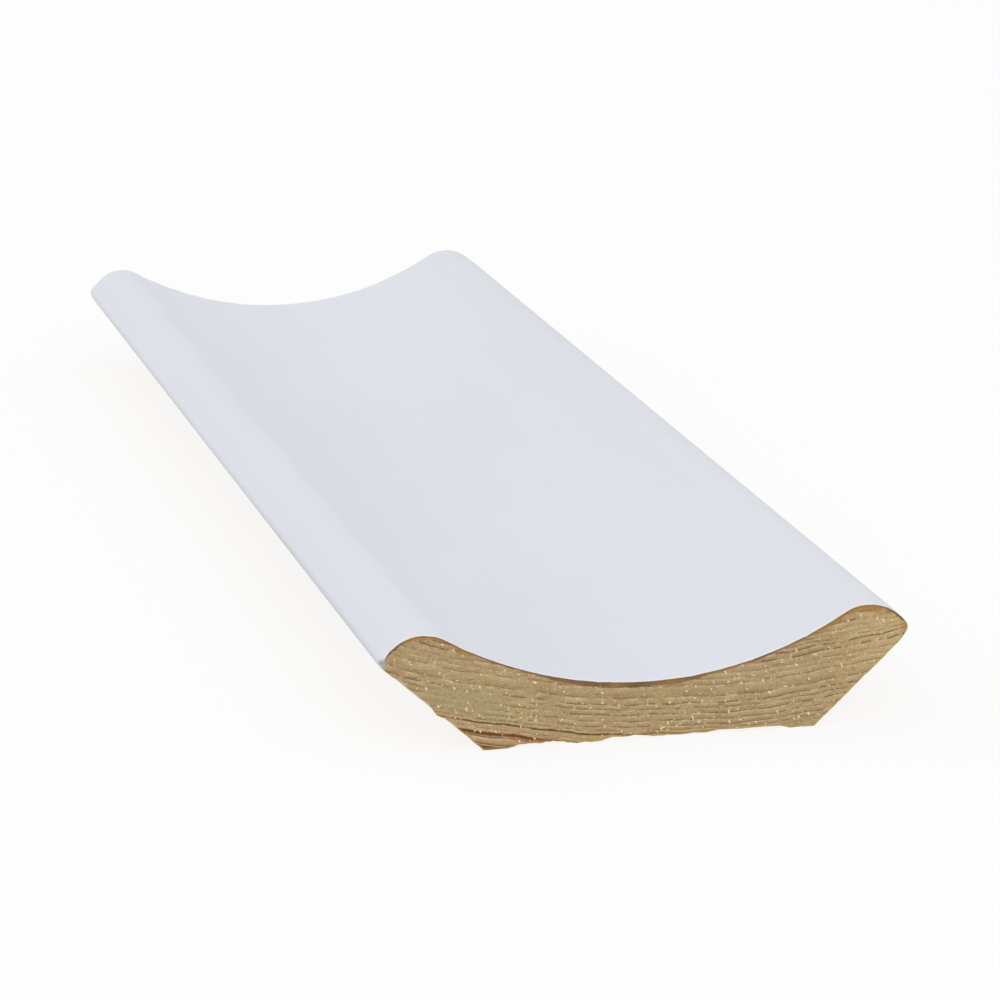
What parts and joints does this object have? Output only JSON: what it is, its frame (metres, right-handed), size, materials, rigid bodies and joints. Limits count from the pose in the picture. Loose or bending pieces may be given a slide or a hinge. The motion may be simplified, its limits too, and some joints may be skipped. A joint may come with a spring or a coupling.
{
  "type": "cove moulding",
  "caption": "Length of sprung cove moulding with a hollow painted face between rounded rolls, sloping seats for wall and ceiling, and a relieved back.",
  "frame": {"origin": "middle of the back at mid-length, on the plane of the two feet", "axes": "+X across the face, +Y along the grain towards the far sawn end, +Z out of the back through the thickness"},
  "size_m": [0.0582, 0.25, 0.013],
  "materials": {
    "painted_pine": "satin white paint on the moulded face, bare planed pine on the seats and back, sawn end grain"
  },
  "bodies": {
    "root": {"cove_moulding": "painted_pine"}
  },
  "joints": []
}
